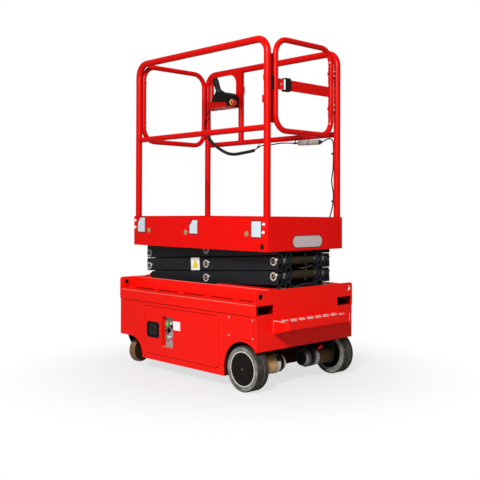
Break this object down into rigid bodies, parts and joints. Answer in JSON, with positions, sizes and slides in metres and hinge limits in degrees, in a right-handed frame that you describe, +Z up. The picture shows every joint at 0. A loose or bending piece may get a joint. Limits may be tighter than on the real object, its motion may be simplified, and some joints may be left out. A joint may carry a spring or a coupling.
{
  "type": "scissor lift",
  "caption": "Compact self-propelled scissor lift: a box chassis with fork pockets, stacked crossing arms and a railed work platform.",
  "frame": {"origin": "on the floor, at the centre of the bounding box's base", "axes": "+Z up, +X towards the step and gate end, -Y towards the side with the charge socket and ground controls"},
  "size_m": [1.28, 0.76, 1.83],
  "materials": {
    "red_paint": "semi-gloss",
    "dark_steel": "satin black",
    "zinc": "zinc plated",
    "bright_steel": "polished",
    "cast_motor": "machined and painted",
    "black_plastic": "matt",
    "battery_case": "matt",
    "drive_rubber": "matt",
    "pale_rim": "satin",
    "brown_polyurethane": "satin",
    "cable_jacket": "satin",
    "sheath": "woven"
  },
  "bodies": {
    "chassis": {"chassis_shell": "red_paint", "fork_pockets": "red_paint", "end_plates": "red_paint", "trough": "red_paint", "base_lugs": "red_paint", "base_pins": "zinc", "lower_tracks": "red_paint", "step": "red_paint", "access_panels": "red_paint", "battery": "battery_case", "hydraulic_unit": "dark_steel", "drive_motors": "cast_motor", "motor_mounts": "dark_steel"},
    "drive_wheel_left": {"drive_tyre_left": "drive_rubber", "drive_hub_left": "pale_rim"},
    "drive_wheel_right": {"drive_tyre_right": "drive_rubber", "drive_hub_right": "pale_rim"},
    "caster_fork_left": {"caster_fork_left": "dark_steel"},
    "caster_wheel_left": {"caster_wheel_left": "brown_polyurethane"},
    "caster_fork_right": {"caster_fork_right": "dark_steel"},
    "caster_wheel_right": {"caster_wheel_right": "brown_polyurethane"},
    "door_left": {"door_left": "red_paint", "charge_socket": "black_plastic", "ground_controls": "black_plastic"},
    "door_right": {"door_right": "red_paint"},
    "outer_arms_low": {"outer_arms_1": "dark_steel", "arm_pins_1": "zinc"},
    "outer_arms_middle": {"outer_arms_2": "dark_steel", "arm_pins_2": "zinc"},
    "outer_arms_high": {"outer_arms_3": "dark_steel", "arm_pins_3": "zinc", "upper_rollers": "zinc"},
    "inner_arms_low": {"inner_arms_1": "dark_steel", "lower_rollers": "zinc"},
    "inner_arms_middle": {"inner_arms_2": "dark_steel"},
    "inner_arms_high": {"inner_arms_3": "dark_steel"},
    "lift_barrel": {"lift_barrel": "dark_steel"},
    "lift_rod": {"lift_rod": "bright_steel"},
    "platform": {"deck": "red_paint", "toe_board": "red_paint", "upper_tracks": "red_paint", "platform_pins": "zinc", "side_rail_left": "red_paint", "side_rail_right": "red_paint", "rear_loop": "red_paint", "control_bracket": "red_paint", "control_box": "black_plastic", "joystick": "black_plastic", "cable_upper": "cable_jacket", "cable_wrap": "sheath", "cable_mid": "cable_jacket", "cable_connector": "black_plastic", "cable_lower": "cable_jacket"},
    "gate": {"gate": "red_paint", "gate_latch": "zinc"}
  },
  "joints": [
    {"name": "lift", "type": "hinge", "parent": "chassis", "child": "outer_arms_low", "pos_m": [-0.58, 0, 0.5015], "axis": [0, -1, 0], "range_deg": [0, 45]},
    {"name": "inner_low_fold", "type": "hinge", "parent": "outer_arms_low", "child": "inner_arms_low", "pos_m": [-0.04444, 0, 0.54083], "axis": [0, -1, 0], "range_deg": [-90.5, 0.5]},
    {"name": "inner_middle_fold", "type": "hinge", "parent": "outer_arms_low", "child": "inner_arms_middle", "pos_m": [0.49112, 0, 0.58016], "axis": [0, -1, 0], "range_deg": [-90.5, 0.5]},
    {"name": "outer_middle_fold", "type": "hinge", "parent": "inner_arms_middle", "child": "outer_arms_middle", "pos_m": [-0.04444, 0, 0.61949], "axis": [0, -1, 0], "range_deg": [-0.5, 90.5]},
    {"name": "outer_high_fold", "type": "hinge", "parent": "inner_arms_middle", "child": "outer_arms_high", "pos_m": [-0.58, 0, 0.65882], "axis": [0, -1, 0], "range_deg": [-0.5, 90.5]},
    {"name": "inner_high_fold", "type": "hinge", "parent": "outer_arms_high", "child": "inner_arms_high", "pos_m": [-0.04444, 0, 0.69815], "axis": [0, -1, 0], "range_deg": [-90.5, 0.5]},
    {"name": "platform_level", "type": "hinge", "parent": "inner_arms_high", "child": "platform", "pos_m": [-0.58, 0, 0.73747], "axis": [0, -1, 0], "range_deg": [-0.5, 45.5]},
    {"name": "cylinder_tilt", "type": "hinge", "parent": "chassis", "child": "lift_barrel", "pos_m": [-0.38, 0, 0.485], "axis": [0, -1, 0], "range_deg": [-0.5, 59]},
    {"name": "cylinder_stroke", "type": "slide", "parent": "lift_barrel", "child": "lift_rod", "axis": [0.9915, 0, 0.1304], "range_m": [-0.0005, 0.2]},
    {"name": "drive_left", "type": "hinge", "parent": "chassis", "child": "drive_wheel_left", "pos_m": [0.437, -0.336, 0.117], "axis": [0, 1, 0], "continuous": true},
    {"name": "drive_right", "type": "hinge", "parent": "chassis", "child": "drive_wheel_right", "pos_m": [0.437, 0.336, 0.117], "axis": [0, 1, 0], "continuous": true},
    {"name": "caster_swivel_left", "type": "hinge", "parent": "chassis", "child": "caster_fork_left", "pos_m": [-0.59, -0.3, 0.17], "axis": [0, 0, 1], "continuous": true},
    {"name": "caster_roll_left", "type": "hinge", "parent": "caster_fork_left", "child": "caster_wheel_left", "pos_m": [-0.59594, -0.26247, 0.074], "axis": [0.9877, 0.1564, 0], "continuous": true},
    {"name": "caster_swivel_right", "type": "hinge", "parent": "chassis", "child": "caster_fork_right", "pos_m": [-0.59, 0.3, 0.17], "axis": [0, 0, 1], "continuous": true},
    {"name": "caster_roll_right", "type": "hinge", "parent": "caster_fork_right", "child": "caster_wheel_right", "pos_m": [-0.59594, 0.26247, 0.074], "axis": [-0.9877, 0.1564, 0], "continuous": true},
    {"name": "door_left_hinge", "type": "hinge", "parent": "chassis", "child": "door_left", "pos_m": [-0.381, -0.37, 0.23], "axis": [0, 0, -1], "range_deg": [0, 95]},
    {"name": "door_right_hinge", "type": "hinge", "parent": "chassis", "child": "door_right", "pos_m": [-0.381, 0.37, 0.23], "axis": [0, 0, 1], "range_deg": [0, 95]},
    {"name": "gate_hinge", "type": "hinge", "parent": "platform", "child": "gate", "pos_m": [0.493, 0.256, 1.58], "axis": [0, 0, -1], "range_deg": [0, 70]}
  ],
  "couplings": [
    {"joint": "inner_low_fold", "follows": "lift", "ratio": -2},
    {"joint": "inner_middle_fold", "follows": "lift", "ratio": -2},
    {"joint": "outer_middle_fold", "follows": "lift", "ratio": 2},
    {"joint": "outer_high_fold", "follows": "lift", "ratio": 2},
    {"joint": "inner_high_fold", "follows": "lift", "ratio": -2},
    {"joint": "platform_level", "follows": "lift", "ratio": 1},
    {"joint": "cylinder_tilt", "follows": "lift", "ratio": 1.296},
    {"joint": "cylinder_stroke", "follows": "lift", "m_per_rad": 0.253}
  ]
}
